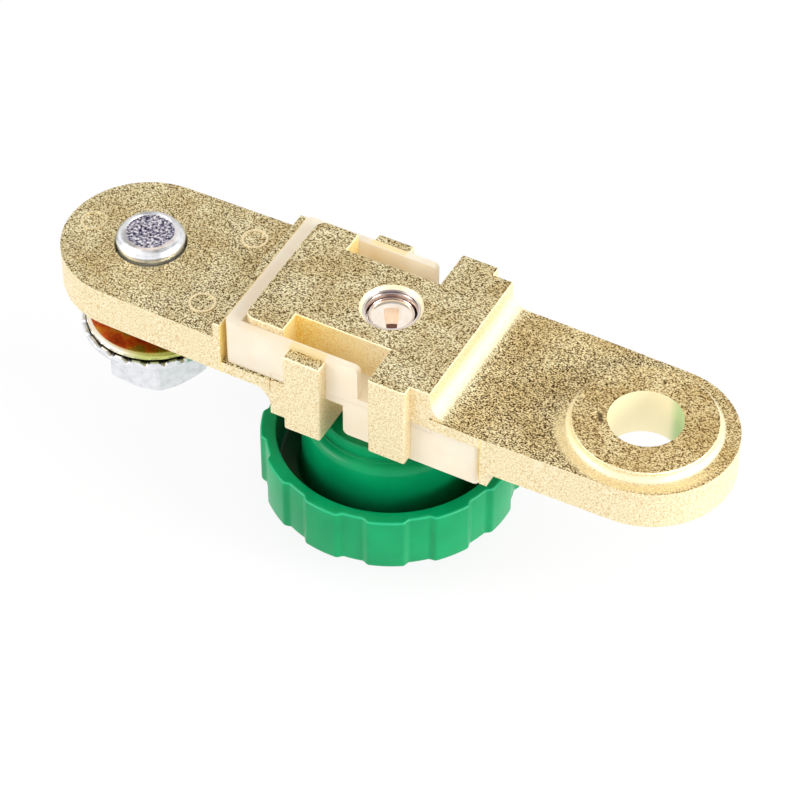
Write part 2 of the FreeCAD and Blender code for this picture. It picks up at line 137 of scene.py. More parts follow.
class Finish:
    """One material: a Principled shader whose constants are set on its own sockets."""

    def __init__(self, name, **constants):
        self.material = bpy.data.materials.new(name)
        self.material.use_nodes = True
        self.tree = self.material.node_tree
        self.shader = self.tree.nodes["Principled BSDF"]
        for socket, value in constants.items():
            self.shader.inputs[socket.replace("_", " ")].default_value = value

    def node(self, kind, settings=None, inputs=None, output=0):
        """Add a node, set it up and plug in its inputs."""
        made = self.tree.nodes.new(kind)
        for key, value in (settings or {}).items():
            if key == "stops":
                self.set_stops(made.color_ramp, value)
            else:
                setattr(made, key, value)
        for key, value in (inputs or {}).items():
            if isinstance(value, Wire):
                self.tree.links.new(value.socket, made.inputs[key])
            else:
                made.inputs[key].default_value = value
        return Wire(self, made.outputs[output])

    def set_stops(self, ramp, stops):
        while len(ramp.elements) < len(stops):
            ramp.elements.new(0.5)
        for element, (place, colour) in zip(ramp.elements, stops):
            element.position, element.color = place, colour

    def place(self):
        return self.node("ShaderNodeTexCoord", output="Object")

    def facing(self):
        """How much the surface looks up, from -1 to 1."""
        return self.part(self.node("ShaderNodeTexCoord", output="Normal"), "Z")

    def part(self, vector, axis):
        return self.node("ShaderNodeSeparateXYZ", inputs={0: vector}, output=axis)

    def millimetres(self):
        """The three coordinates of the place on the object."""
        where = self.place()
        return [self.part(where, axis) * (1 / MM) for axis in "XYZ"]

    def noise(self, scale, detail=2.0, roughness=0.5, stretch=(1, 1, 1)):
        """Scale is about how many specks lie in a metre."""
        where = self.node("ShaderNodeMapping", inputs={"Vector": self.place(), "Scale": stretch})
        inputs = {"Vector": where, "Scale": scale, "Detail": detail, "Roughness": roughness}
        return self.node("ShaderNodeTexNoise", inputs=inputs)

    def ramp(self, value, stops):
        return self.node("ShaderNodeValToRGB", {"stops": stops}, {0: value})

    def between(self, value, low, high):
        """0 where the value is under low, 1 where it is over high."""
        return self.node("ShaderNodeMapRange", {"interpolation_type": "SMOOTHSTEP"},
                         {"Value": value, "From Min": low, "From Max": high})

    def fade(self, value, low, high):
        """1 where the value is under low, 0 where it is over high."""
        return 1 - self.between(value, low, high)

    def band(self, value, rise, fall):
        """1 from the end of the rise to the start of the fall, 0 outside both."""
        return self.between(value, *rise) * self.fade(value, *fall)

    def mix(self, share, first, second, how="MIX"):
        return self.node("ShaderNodeMix", {"data_type": "RGBA", "blend_type": how},
                         {0: share, 6: first, 7: second}, output=2)

    def bump(self, height, strength, depth):
        """Relief of a depth in millimetres."""
        inputs = {"Height": height, "Strength": strength, "Distance": depth * MM}
        return self.node("ShaderNodeBump", inputs=inputs)

    def feed(self, **wires):
        for socket, wire in wires.items():
            self.tree.links.new(wire.socket, self.shader.inputs[socket.replace("_", " ")])
        print(self.material.name, "has", len(self.tree.nodes), "nodes")
        return self.material


def tint(red, green, blue):
    """A colour given as on a screen, 0 to 255, turned into the shader's linear light."""
    straight = [c / 255 for c in (red, green, blue)]
    return (*[c / 12.92 if c < 0.04045 else ((c + 0.055) / 1.055) ** 2.4 for c in straight], 1)


def grey(level):
    return (level, level, level, 1)


def reach(x, y):
    """How far a place lies from the point where both wires are 0."""
    return (x * x + y * y) ** 0.5


def rightwards(x, y):
    """How far a place lies towards the picture's right."""
    return x * level_right.x + y * level_right.y


def rearwards(x, y):
    """How far a place lies towards the back of the picture."""
    return y * level_right.x - x * level_right.y


print("middle grey on a screen is", round(tint(128, 128, 128)[0], 3), "of the light")

# %% [markdown]
# ## The cast arms' grain
# The arms are cast and plated a pale gold. Their wide flat faces are coarse, like fine sandpaper:
# every grain shows a light side and a dark olive one. The drafted side walls left the mould much
# smoother, and their paler cream colour is painted light. One noise texture at the grain's real
# size, about a quarter of a millimetre, drives colour, roughness and bump together, so they agree
# with each other, and the direction that a face looks in says how coarse it is. The grain stands
# out most beside the blocks and round the boss on the right arm, and least on the boss itself. It
# is a little darker beside the blocks, and darker round the boss's foot as painted shade.

# %% Grain of the castings
GRAINS_PER_METRE = 4100
MID_PLANE, HOLE_REACH, BOSS_FOOT = 23.9, 37, 11

cast = Finish("plated_casting")
x, y, z = cast.millimetres()
above = z - MID_PLANE
tilt = cast.facing().size()
flat_face = cast.between(tilt, 0.8, 0.97)
from_hole = reach(x.size() - HOLE_REACH, y)
from_boss = from_hole - BOSS_FOOT
right_arm = cast.between(x, -1, 1)

# Beside the blocks the grain is stronger and a little darker; round the boss's foot it is also
# darkened as painted shade.
near_block = (cast.band(x.size(), (12.5, 16), (26, 36)) * cast.fade(y, 2, 10)
              * (0.45 + 0.55 * right_arm))
boss_grain_and_shade = cast.band(from_boss, (0, 0.3), (0.5, 4.5)) * cast.fade(x, 34, 40) * right_arm
off_boss = 0.35 + 0.65 * cast.between(from_boss, -0.2, 0.2)
drift = cast.between(cast.noise(110, 2, 0.5), 0.3, 0.75)
contrast = (1.2 * drift + 2.4 * near_block + 2.4 * boss_grain_and_shade) * off_boss

grain = cast.noise(GRAINS_PER_METRE, 3, 0.7, stretch=(1, 1.35, 1))
level = 0.545 + (grain - 0.5) * (2.9 + 1.2 * contrast) - 0.03 * near_block - 0.05 * boss_grain_and_shade
speck = cast.ramp(level, [(0.26, tint(66, 48, 22)), (0.38, tint(142, 114, 66)),
                          (0.46, tint(208, 182, 128)), (0.56, tint(242, 220, 168)),
                          (0.70, tint(255, 251, 228))])
patches = cast.noise(160, 2, 0.5)
shade = cast.ramp(patches, [(0.34, tint(236, 226, 204)), (0.62, tint(255, 253, 247))])
warm = cast.mix(cast.between(x, 10, 20), tint(250, 255, 252), tint(252, 250, 234))
coarse = cast.mix(1.0, cast.mix(1.0, speck, shade, "MULTIPLY"), warm, "MULTIPLY")
# The side walls' paler cream is painted light on top of their finer grain.
fine_grain_and_light = cast.ramp(grain, [(0.34, tint(206, 174, 116)), (0.44, tint(232, 211, 162)),
                         (0.58, tint(248, 236, 204))])
print("grain about", round(1 / (GRAINS_PER_METRE * MM), 2), "mm")

# %% [markdown]
# ## Marks on the castings
# The pockets are a deeper gold, painted light for light bounced between gold walls: the notches
# beside the waist, and the narrow gap at the end of each tray. A notch's wall is partly a paler
# cream, also painted light. The lower casting is the upper one turned over, so one mask serves
# both. Ejector pins left thin rings on the face without a boss. Rounded edges and the hole's wall
# carry a painted highlight. A pale band in front of the boss's foot is a painted highlight, the
# hole's rim has one small nick, and a painted green reflection of the knob lies on one side of the
# hole's wall. These could be painted into an image, but masks worked out from the place stay sharp
# at any distance.

# %% Marks, and the finished castings
NOTCH_X, NOTCH_Y = ((-10.7, -10.4), (-2.5, 3.0)), ((6.7, 6.9), (10.0, 10.3))
TRAY_END, PIN_RADIUS, HOLE_WALL = 19.25, 1.7, (6.2, 6.6)
PIN_MARKS = ((24.8, 7.05, 1.0), (46, 0, 0.6))
NICK_ACROSS, NICK_Y = -5.85, -2.6

along = x * above.sign()
boss_face = cast.between(x * above, -0.5, 0.5)
# Painted light in the pockets: a deeper gold for light bounced between gold walls, and a paler
# cream on the notch's wall.
pocket = cast.band(along, *NOTCH_X) * cast.band(y.size(), *NOTCH_Y)
gap = cast.fade((x.size() - TRAY_END).size(), 0.06, 0.16)
pocket_bounce = (pocket * (1 - 0.6 * cast.between(along, -10, 0))).at_least(gap) * (1 - flat_face)
bounce_gold = cast.ramp(grain, [(0.36, tint(236, 192, 84)), (0.5, tint(252, 226, 136)),
                         (0.62, tint(255, 246, 192))])

rings = []
for mark_x, mark_y, strength in PIN_MARKS:
    from_mark = reach(x.size() - mark_x, y.size() - mark_y)
    rings.append(cast.fade((from_mark - PIN_RADIUS).size(), 0.1, 0.24) * strength)
ring = rings[0].at_least(rings[1]) * (1 - boss_face) * flat_face

# A painted highlight on the near side of the boss's foot.
boss_foot_highlight = (cast.band(from_boss, (-1.0, -0.7), (0.3, 1.3)) * cast.fade(y, -7, 0)
             * boss_face * flat_face * 0.75)
across = rightwards(x.size() - HOLE_REACH, y)
nick = (cast.fade((across - NICK_ACROSS).size(), 0.2, 0.4)
        * cast.fade((y - NICK_Y).size(), 0.5, 1.0)
        * cast.between(x, 0, 1) * cast.between(above, 0, 1) * flat_face)
# Rounded edges and the hole's wall carry a painted highlight; the pin rings are real marks.
rim = cast.band(tilt, (0.15, 0.3), (0.8, 0.95))
hole = cast.fade(from_hole, *HOLE_WALL)
rings_and_highlights = (rim * 0.6).at_least(hole * (1 - flat_face)).at_least(ring * 0.9)

smooth = cast.mix(pocket_bounce, cast.mix(pocket, fine_grain_and_light, tint(255, 246, 214)), bounce_gold)
surface = cast.mix(flat_face, smooth, coarse)
surface = cast.mix(boss_foot_highlight, surface, tint(255, 240, 190))
surface = cast.mix(nick * 0.85, surface, tint(84, 64, 34))
# A painted green reflection of the knob on one side of the hole's wall.
knob_reflection = hole * cast.between(across, 3.2, 4.6) * 0.6
ring_and_highlight_colour = cast.mix(knob_reflection, tint(253, 242, 206), tint(140, 200, 130))
plated_casting = cast.feed(
    Base_Color=cast.mix(rings_and_highlights, surface, ring_and_highlight_colour),
    Metallic=0.55 + 0.35 * flat_face,
    Roughness=0.42 - 0.06 * flat_face + 0.1 * patches,
    Normal=cast.bump(grain, 0.9, 0.05),
)

# %% [markdown]
# ## Milky plastic
# The trays and the bush are unfilled nylon: light goes in and comes out somewhere else. Some
# transmission with a fair roughness keeps it from looking like glass, a slight glow stands for the
# light that wanders inside, and the gold post behind each tray's wall shines through as a soft
# tint. Real scattering would do all this by itself, but a thin wall needs many samples for it.

# %% Tray and bush plastic
POST_X, POST_SIDE = ((-9.1, -8.8), (-3.8, -3.5)), (10.5, 10.8)

milk = Finish("milky_plastic", Roughness=0.4, IOR=1.35, Transmission_Weight=0.32,
              Emission_Color=tint(255, 238, 220), Emission_Strength=0.07)
cloud = milk.noise(140, 2, 0.5)
milky = milk.ramp(cloud, [(0.34, tint(244, 231, 207)), (0.62, tint(251, 244, 226))])
x, y, z = milk.millimetres()
along = x * (z - MID_PLANE).sign()
post_behind = milk.band(along, *POST_X) * milk.between(y.size(), *POST_SIDE)
milky_plastic = milk.feed(
    Base_Color=milk.mix(post_behind * 0.6, milky, tint(252, 226, 140)),
    Normal=milk.bump(milk.noise(900, 2, 0.5), 0.2, 0.03),
)

# %% [markdown]
# ## Green knob plastic
# Moulded plastic is one colour all through. What makes it look real is its gloss, which a worn
# mould breaks up slightly. Sloping edges carry a painted highlight in a lighter green, and the cup
# darkens towards its floor as painted shade, where little light gets in.

# %% Knob plastic
green = Finish("green_plastic", IOR=1.5, Specular_IOR_Level=0.22)
drift = green.noise(120, 3, 0.55)
body = green.ramp(drift, [(0.3, tint(0, 136, 82)), (0.7, tint(0, 156, 96))])
x, y, z = green.millimetres()
cup = green.fade(reach(x, y), 15.2, 16.0) * green.between(z, 1.0, 1.8)
depth = cup * green.fade(z, 2, 12.5)
# Sloping edges carry a painted highlight.
edge_highlight = green.band(green.facing(), (0.2, 0.45), (0.75, 0.95)) * (1 - cup)
colour = green.mix(edge_highlight * 0.5, body, tint(60, 200, 145))
green_plastic = green.feed(
    Base_Color=green.mix(0.9 * depth, colour, tint(4, 64, 36)),
    Roughness=0.24 + 0.12 * drift,
    Normal=green.bump(green.noise(1500, 2, 0.5), 0.15, 0.02),
)

# %% [markdown]
# ## Zinc and steel
# Bright zinc shows faint crystals. On the bolt it is darker in the turned lines of the tip, and in
# the shadow under the flange's teeth. The bolt's end is left as it was cut, dark and grainy. The
# insert is turned steel, and the far side of its mouth carries a painted dark reflection of the
# nose.

# %% Zinc and steel
zinc = Finish("bright_zinc", Metallic=0.9)
crystal = zinc.noise(900, 3, 0.6)
clean = zinc.ramp(crystal, [(0.3, tint(216, 218, 222)), (0.6, tint(240, 241, 244))])
x, y, z = zinc.millimetres()
turning = zinc.noise(150, 2, 0.5, stretch=(1, 1, 16))
tip_lines = zinc.fade(turning, 0.36, 0.5) * zinc.between(z, 26.2, 26.6)
under_teeth = (zinc.band(z, (12.8, 13.1), (14.0, 14.2))
               * zinc.fade(reach(x + HOLE_REACH, y), 9.55, 9.85))
bright_zinc = zinc.feed(
    Base_Color=zinc.mix(under_teeth.at_least(tip_lines * 0.45), clean, tint(44, 40, 30)),
    Roughness=0.2 + 0.2 * crystal,
    Normal=zinc.bump(crystal, 0.3, 0.03),
)

raw = Finish("grained_zinc", Metallic=1.0)
pit = raw.noise(2600, 3, 0.65)
grained_zinc = raw.feed(
    Base_Color=raw.ramp(pit, [(0.40, tint(40, 40, 66)), (0.5, tint(146, 146, 172)),
                              (0.60, tint(244, 244, 252))]),
    Roughness=0.35 + 0.2 * pit,
    Normal=raw.bump(pit, 0.8, 0.05),
)

steel = Finish("turned_steel", Metallic=1.0)
lines = steel.noise(300, 2, 0.5, stretch=(1, 1, 20))
clean = steel.ramp(lines, [(0.3, tint(214, 214, 218)), (0.7, tint(244, 244, 246))])
x, y, z = steel.millimetres()
# A painted dark reflection of the nose on the far side of the mouth.
far_side_reflection = steel.between(rearwards(x, y), 3.1, 3.5)
turned_steel = steel.feed(
    Base_Color=steel.mix(far_side_reflection * 0.6, clean, tint(112, 104, 132)),
    Roughness=0.12 + 0.1 * lines,
)

# %% [markdown]
# ## Copper, brass and yellow zinc
# The stud's nose is polished so well that it mirrors the studio, and the darker copper crescent on
# its far slope is a painted reflection. The disc is turned brass. Yellow zinc isn't yellow: its
# thin film breaks light into reds, browns and greens on the washer's cone, and the lip is rubbed
# down to bright metal.

# %% Copper, brass and yellow zinc
copper = Finish("copper_plating", Metallic=1.0)
wear = copper.noise(500, 3, 0.6)
clean = copper.ramp(wear, [(0.3, tint(246, 226, 204)), (0.7, tint(255, 246, 234))])
x, y, z = copper.millimetres()
# A painted reflection: a darker copper crescent on the nose's far slope.
crescent_reflection = copper.between(reach(x, y), 1.5, 2.6) * copper.between(rearwards(x, y), 0.2, 1.6)
copper_plating = copper.feed(
    Base_Color=copper.mix(crescent_reflection * 0.5, clean, tint(196, 132, 96)),
    Roughness=0.02 + 0.06 * wear,
)

brass = Finish("turned_brass", Metallic=1.0)
streak = brass.noise(200, 2, 0.5, stretch=(1, 1, 12))
turned_brass = brass.feed(
    Base_Color=brass.ramp(streak, [(0.3, tint(214, 178, 92)), (0.7, tint(238, 208, 128))]),
    Roughness=0.22 + 0.12 * streak,
)

yellow = Finish("yellow_zinc", Metallic=1.0)
bloom = yellow.noise(260, 3, 0.6)
cone = yellow.ramp(bloom, [(0.36, tint(140, 52, 26)), (0.48, tint(202, 88, 40)),
                           (0.56, tint(206, 128, 44)), (0.64, tint(150, 146, 52))])
x, y, z = yellow.millimetres()
lip = yellow.between(reach(x + HOLE_REACH, y), 8.95, 9.1)
greener = yellow.between(x + HOLE_REACH - y, 9.5, 12.5)
lip_colour = yellow.mix(greener, tint(240, 230, 206), tint(208, 214, 130))
yellow_zinc = yellow.feed(
    Base_Color=yellow.mix(lip, cone, lip_colour),
    Roughness=0.18 + 0.15 * bloom,
)

# %% [markdown]
# ## A helper for new pieces
# A new piece is a bmesh that becomes one object at the origin, with its place in its mesh.

# %% Making and dressing pieces
WELD = 0.0005 * MM


def to_data(name, mesh):
    """Turn a bmesh into mesh data, and drop the bmesh."""
    data = bpy.data.meshes.new(name)
    mesh.to_mesh(data)
    mesh.free()
    return data


def join(mesh, part):
    """Add one bmesh to another, and drop it."""
    data = to_data("part", part)
    mesh.from_mesh(data)
    bpy.data.meshes.remove(data)


def finish_piece(name, mesh, material, body, node=None, crisp=32):
    """Turn a bmesh into a piece of the object."""
    bmesh.ops.remove_doubles(mesh, verts=mesh.verts, dist=WELD)
    bmesh.ops.recalc_face_normals(mesh, faces=mesh.faces)
    data = to_data(name, mesh)
    data.shade_smooth()
    data.set_sharp_from_angle(angle=radians(crisp))
    data.materials.append(material)
    piece = show(name, data)
    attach(piece, body)
    if node:
        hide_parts(node)
    print(name, len(data.polygons), "faces")
    return piece


def paint(node, material):
    """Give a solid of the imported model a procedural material."""
    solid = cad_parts[node]
    solid.data.materials.clear()
    solid.data.materials.append(material)
    print(node, "is", material.name)


def lathe(mesh, profile, steps=160):
    """Spin a profile of (radius, height) pairs in millimetres into a shell round the Z axis."""
    points = [mesh.verts.new((radius * MM, 0, height * MM)) for radius, height in profile]
    edges = [mesh.edges.new(pair) for pair in zip(points, points[1:])]
    bmesh.ops.spin(mesh, geom=points + edges, cent=(0, 0, 0), axis=(0, 0, 1),
                   angle=2 * pi, steps=steps, use_merge=True, use_duplicate=False)
    bmesh.ops.remove_doubles(mesh, verts=mesh.verts, dist=WELD)


def arc(centre, radius, start, end, count=6):
    """Points on part of a circle in the profile's plane, between two angles in degrees."""
    turns = [radians(start + (end - start) * n / count) for n in range(count + 1)]
    return [(centre[0] + radius * cos(turn), centre[1] + radius * sin(turn)) for turn in turns]


def top_of(node):
    """The height of a solid's top in millimetres."""
    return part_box(node)[1].z / MM


def bottom_of(node):
    """The height of a solid's underside in millimetres."""
    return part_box(node)[0].z / MM


# %% [markdown]
# ## Castings and trays
# These solids carry their fillets, so they stay and only take their finish.

# %% Dress the castings, trays, bush and insert
for node in ("upper_contact_casting", "lower_contact_casting"):
    paint(node, plated_casting)
for node in ("upper_insulator_tray", "lower_insulator_tray", "insulating_bush"):
    paint(node, milky_plastic)
paint("threaded_insert", turned_steel)
paint("contact_disc", turned_brass)

# %% [markdown]
# ## The curved foot of each block
# The tall end wall of a block doesn't meet the arm in a sharp corner: the mould gave it a hollow
# curve that runs the whole width. A short profile is extruded along the corner for it, sunk a
# little into the casting. The lower casting gets the same strip turned over.

# %% Foot of the block's end wall
WALL_X, ARM_TOP, FOOT, STRIP_HALF, SUNK = 11.9, MID_PLANE + 3, 3.1, 11.8, 0.1

for name, turned_over in (("upper_wall_foot", False), ("lower_wall_foot", True)):
    strip = bmesh.new()
    corners = [(WALL_X - SUNK, ARM_TOP - SUNK), (WALL_X + FOOT, ARM_TOP - SUNK),
               *arc((WALL_X + FOOT, ARM_TOP + FOOT), FOOT, -90, -180, 12),
               (WALL_X - SUNK, ARM_TOP + FOOT)]
    points = [strip.verts.new((x * MM, -STRIP_HALF * MM, z * MM)) for x, z in corners]
    end = strip.faces.new(points)
    drawn = bmesh.ops.extrude_face_region(strip, geom=[end])["geom"]
    bmesh.ops.translate(strip, verts=[v for v in drawn if isinstance(v, bmesh.types.BMVert)],
                        vec=(0, 2 * STRIP_HALF * MM, 0))
    if turned_over:
        bmesh.ops.rotate(strip, verts=strip.verts, cent=(0, 0, MID_PLANE * MM),
                         matrix=Matrix.Rotation(pi, 3, "Y"))
    finish_piece(name, strip, plated_casting, "switch_body")

# %% [markdown]
# ## The hand knob
# A moulded cup with a stepped hub and twelve grip flutes. It could be boxed out and subdivided,
# but it is a turned shape at heart, so its profile is spun first. The grip is then pressed into
# the outer wall: each point there moves inwards by how deep the flute is at its angle.

# %% Knob
FLUTES, FLUTE_DEPTH, FLUTE_HALF, SHOULDER, KNOB_ANGLE = 12, 0.6, 7.6, 3.4, 10.6
RIM_TOP, HUB_TOP, COLLAR_TOP = 8.8, 12.9, top_of("hand_knob")
OUTER, CUP, GRIP_INSIDE = 17.85, 15.7, 16.2
FOOT_ROUND, RIM_ROUND, CUP_ROUND, FLOOR_ROUND, HUB_ROUND = 0.6, 0.45, 0.25, 0.7, 1.3


def flute_depth(angle):
    """How far the grip is pressed in, in millimetres, at an angle in degrees."""
    from_middle = abs((angle - KNOB_ANGLE + 180 / FLUTES) % (360 / FLUTES) - 180 / FLUTES)
    share = min(1, max(0, (FLUTE_HALF - from_middle) / SHOULDER))
    return FLUTE_DEPTH * share * share * (3 - 2 * share)


knob = bmesh.new()
lathe(knob, [
    (0, 0), (15.5, 0), *arc((OUTER - FOOT_ROUND, FOOT_ROUND), FOOT_ROUND, -90, 0),
    *arc((OUTER - RIM_ROUND, RIM_TOP - RIM_ROUND), RIM_ROUND, 0, 90),
    *arc((CUP + CUP_ROUND, RIM_TOP - CUP_ROUND), CUP_ROUND, 90, 180, 3),
    *arc((CUP - FLOOR_ROUND, 3.1), FLOOR_ROUND, 0, -90, 4),
    *arc((13.0, 2.9), 0.5, -90, -180, 3),
    *arc((10.7, HUB_TOP - 1.4), HUB_ROUND, 0, 90, 8), (10.6, HUB_TOP),
    (10.45, HUB_TOP - 0.12), (10.2, HUB_TOP), (10.1, COLLAR_TOP - 0.2), (9.9, COLLAR_TOP),
    (0, COLLAR_TOP),
], steps=576)
for point in knob.verts:
    radius = hypot(point.co.x, point.co.y)
    if radius > GRIP_INSIDE * MM and point.co.z < (RIM_TOP + 0.1) * MM:
        pressed = flute_depth(degrees(atan2(point.co.y, point.co.x))) * MM
        point.co.xy *= (radius - pressed) / radius
finish_piece("knob_body", knob, green_plastic, "knob", "hand_knob", crisp=40)

# %% [markdown]
# ## Threads
# A thread is a zigzag profile that climbs as it turns. Spinning the whole zigzag once round while
# it rises by one pitch makes every turn at the same time, because each tooth ends where the next
# one began. Two cuts then take it to length.

# %% Thread helper
THREAD_DEPTH, THREAD_FLAT, THREAD_STEPS, THREAD_WELD = 0.6, 0.12, 64, 0.002 * MM


def thread(mesh, radius, pitch, low, high):
    """A right-hand thread between two heights, all in millimetres."""
    root, flat, half = radius - THREAD_DEPTH * pitch, THREAD_FLAT * pitch, pitch / 2
    turns = int((high - low) / pitch) + 3
    zigzag = []
    for turn in range(turns):
        start = low - 2 * pitch + turn * pitch
        zigzag += [(root, start), (root, start + flat)]
        zigzag += [(radius, start + half), (radius, start + half + flat)]
    part = bmesh.new()
    points = [part.verts.new((r * MM, 0, z * MM)) for r, z in zigzag]
    edges = [part.edges.new(pair) for pair in zip(points, points[1:])]
    bmesh.ops.spin(part, geom=points + edges, cent=(0, 0, 0), axis=(0, 0, 1), angle=2 * pi,
                   dvec=(0, 0, pitch * MM / THREAD_STEPS), steps=THREAD_STEPS,
                   use_merge=False, use_duplicate=False)
    bmesh.ops.remove_doubles(part, verts=part.verts, dist=THREAD_WELD)
    for height, normal in ((low, (0, 0, -1)), (high, (0, 0, 1))):
        cut = bmesh.ops.bisect_plane(part, geom=part.verts[:] + part.edges[:] + part.faces[:],
                                     plane_co=(0, 0, height * MM), plane_no=normal,
                                     clear_outer=True)
        rim = [item for item in cut["geom_cut"] if isinstance(item, bmesh.types.BMEdge)]
        bmesh.ops.contextual_create(part, geom=rim)
    join(mesh, part)
    print("thread", 2 * radius, "mm wide, from", round(low, 2), "to", round(high, 2), "mm")


# %% [markdown]
# ## The clamp stud
# Its nose is the shiny dome in the middle of the block: a wide flat cap with a rounded edge. Below
# it the shank is threaded, and a hexagon holds it in the knob.

# %% Stud
STUD_RADIUS, STUD_PITCH, NECK, NECK_FOOT = 3.5, 1.25, 3.12, 3.0
MOUTH_TOP, MOUTH_DEPTH, MOUTH_GAP = top_of("threaded_insert"), 1.25, 0.1
NOSE_TOP, NOSE_DEPTH = top_of("clamp_stud"), 1.6
MOUTH_FOOT = MOUTH_TOP - MOUTH_DEPTH
THREAD_END = min(NOSE_TOP - NOSE_DEPTH, MOUTH_FOOT - MOUTH_GAP)
CAP_RADIUS, CAP_ANGLE, EDGE_PLACE, EDGE_DROP, EDGE_ROUND = 5.16, 55.5, 2.67, 1.278, 0.45
HEAD_DEPTH, HEAD_CORNER = 7, 5.5

stud = bmesh.new()
thread(stud, STUD_RADIUS, STUD_PITCH, COLLAR_TOP - 0.1, THREAD_END)
rounding = arc((EDGE_PLACE, NOSE_TOP - EDGE_DROP), EDGE_ROUND, 0, CAP_ANGLE, 8)
cap = arc((0, NOSE_TOP - CAP_RADIUS), CAP_RADIUS, CAP_ANGLE, 90, 20)
lathe(stud, [(0, THREAD_END - 0.5), (NECK_FOOT, THREAD_END - 0.5), (NECK, THREAD_END),
             *rounding, *cap[1:-1], (0, NOSE_TOP)], 96)
lathe(stud, [(0, COLLAR_TOP - HEAD_DEPTH), (HEAD_CORNER, COLLAR_TOP - HEAD_DEPTH),
             (HEAD_CORNER, COLLAR_TOP), (0, COLLAR_TOP)], 6)
finish_piece("stud_body", stud, copper_plating, "knob", "clamp_stud", crisp=35)
print("nose top at", round(NOSE_TOP, 2), "mm")

# %% [markdown]
# ## The insert's mouth
# The insert was turned on a lathe, and its thread begins with a bright funnel round the nose. It
# is a thin ring with a sloping inside, spun like the knob, and it ends above the stud's thread.

# %% Mouth of the insert
MOUTH_WALL, MOUTH_BORE, MOUTH_LIP = 3.83, 3.24, MOUTH_TOP + 0.02

mouth = bmesh.new()
lathe(mouth, [(MOUTH_BORE, MOUTH_FOOT + 0.1), (3.4, MOUTH_TOP - 0.5), (3.76, MOUTH_LIP),
              (MOUTH_WALL, MOUTH_LIP), (MOUTH_WALL, MOUTH_FOOT), (MOUTH_BORE, MOUTH_FOOT),
              (MOUTH_BORE, MOUTH_FOOT + 0.1)], 128)
finish_piece("insert_mouth", mouth, turned_steel, "switch_body", crisp=50)

# %% [markdown]
# ## The terminal bolt
# A flanged hexagon bolt. Its shank is threaded, and a smooth tip with a grainy end stands out of
# the arm. The shank uses the same thread helper as the stud, and the tip is spun on top of it.

# %% Shank and tip of the bolt
BOLT_X, BOLT_SEAT = -HOLE_REACH, 13.5
BOLT_RADIUS, BOLT_PITCH, TIP_ROUND = 4.76, 1.5875, 0.2
BOLT_TOP, BOLT_BOTTOM = top_of("terminal_bolt"), bottom_of("terminal_bolt")
TIP_FOOT = BOLT_TOP - 4.1

bolt = bmesh.new()
thread(bolt, BOLT_RADIUS, BOLT_PITCH, BOLT_SEAT - 0.3, TIP_FOOT)
lathe(bolt, [(0, TIP_FOOT - 0.4), (4.0, TIP_FOOT - 0.4), (4.4, TIP_FOOT),
             *arc((BOLT_RADIUS - TIP_ROUND, BOLT_TOP - 1.1), TIP_ROUND, 0, 40, 2),
             (3.95, BOLT_TOP - 0.06), (3.8, BOLT_TOP), (3.4, BOLT_TOP), (3.3, BOLT_TOP - 0.12),
             (0, BOLT_TOP - 0.15)], 96)

# %% [markdown]
# ## The bolt's flange
# The flange's rim carries radial teeth that bite into the washer. They could be cut one by one,
# but the flange is spun in ten steps for each tooth, and the points of its top are lowered where
# a groove lies between two teeth.

# %% Flange and teeth of the bolt
FLANGE, FLANGE_THICK, RIM_DROP, FLANGE_ROUND = 10.2, 1.25, 0.5, 0.4
TEETH, TOOTH_DEPTH, TOOTH_HALF = 24, 0.5, 0.3
TEETH_INSIDE, RECESS_WALL, RECESS = FLANGE - 2.4, FLANGE - 2.7, 0.25
FLANGE_BOTTOM = BOLT_SEAT - FLANGE_THICK

flange = bmesh.new()
lathe(flange, [(0, FLANGE_BOTTOM), (FLANGE - 0.7, FLANGE_BOTTOM),
               *arc((FLANGE - FLANGE_ROUND, FLANGE_BOTTOM + FLANGE_ROUND), FLANGE_ROUND, -90, 0, 4),
               (FLANGE, BOLT_SEAT - RIM_DROP), (FLANGE - 0.15, BOLT_SEAT),
               (TEETH_INSIDE, BOLT_SEAT), (RECESS_WALL, BOLT_SEAT - RECESS),
               (0, BOLT_SEAT - RECESS)], TEETH * 10)
for point in flange.verts:
    if point.co.z > (BOLT_SEAT - 0.01) * MM:
        turn = (atan2(point.co.y, point.co.x) / (2 * pi) * TEETH) % 1
        point.co.z -= TOOTH_DEPTH * max(0, 1 - abs(turn - 0.5) / TOOTH_HALF) * MM
print(TEETH, "teeth")

# %% [markdown]
# ## The bolt's head
# The hexagon could be a cylinder of six sides, but a round head pressed flat keeps the curved
# corners of a real chamfer. Then the shells become one piece, and the faces at the cut end take
# the grainy finish.

# %% Hexagon of the bolt, and the whole bolt
HEX_HALF, HEX_ANGLE = 6.6, 3
HEAD_FACE, HEAD_RADIUS, HEAD_CHAMFER = 6.3, 7.7, 0.9
CUT_END = 3.2

head = bmesh.new()
lathe(head, [(0, BOLT_BOTTOM), (HEAD_FACE, BOLT_BOTTOM), (HEAD_RADIUS, BOLT_BOTTOM + HEAD_CHAMFER),
             (HEAD_RADIUS, FLANGE_BOTTOM + 0.1), (0, FLANGE_BOTTOM + 0.1)], 120)
for point in head.verts:
    radius = hypot(point.co.x, point.co.y) / MM
    angle = (degrees(atan2(point.co.y, point.co.x)) - HEX_ANGLE) % 60 - 30
    side = HEX_HALF / cos(radians(angle))
    if radius > side:
        point.co.xy *= side / radius
        if point.co.z < FLANGE_BOTTOM * MM:
            chamfered = (side - HEAD_FACE) / (HEAD_RADIUS - HEAD_FACE)
            point.co.z = (BOLT_BOTTOM + HEAD_CHAMFER * chamfered) * MM
join(bolt, flange)
join(bolt, head)
bmesh.ops.translate(bolt, verts=bolt.verts, vec=(BOLT_X * MM, 0, 0))
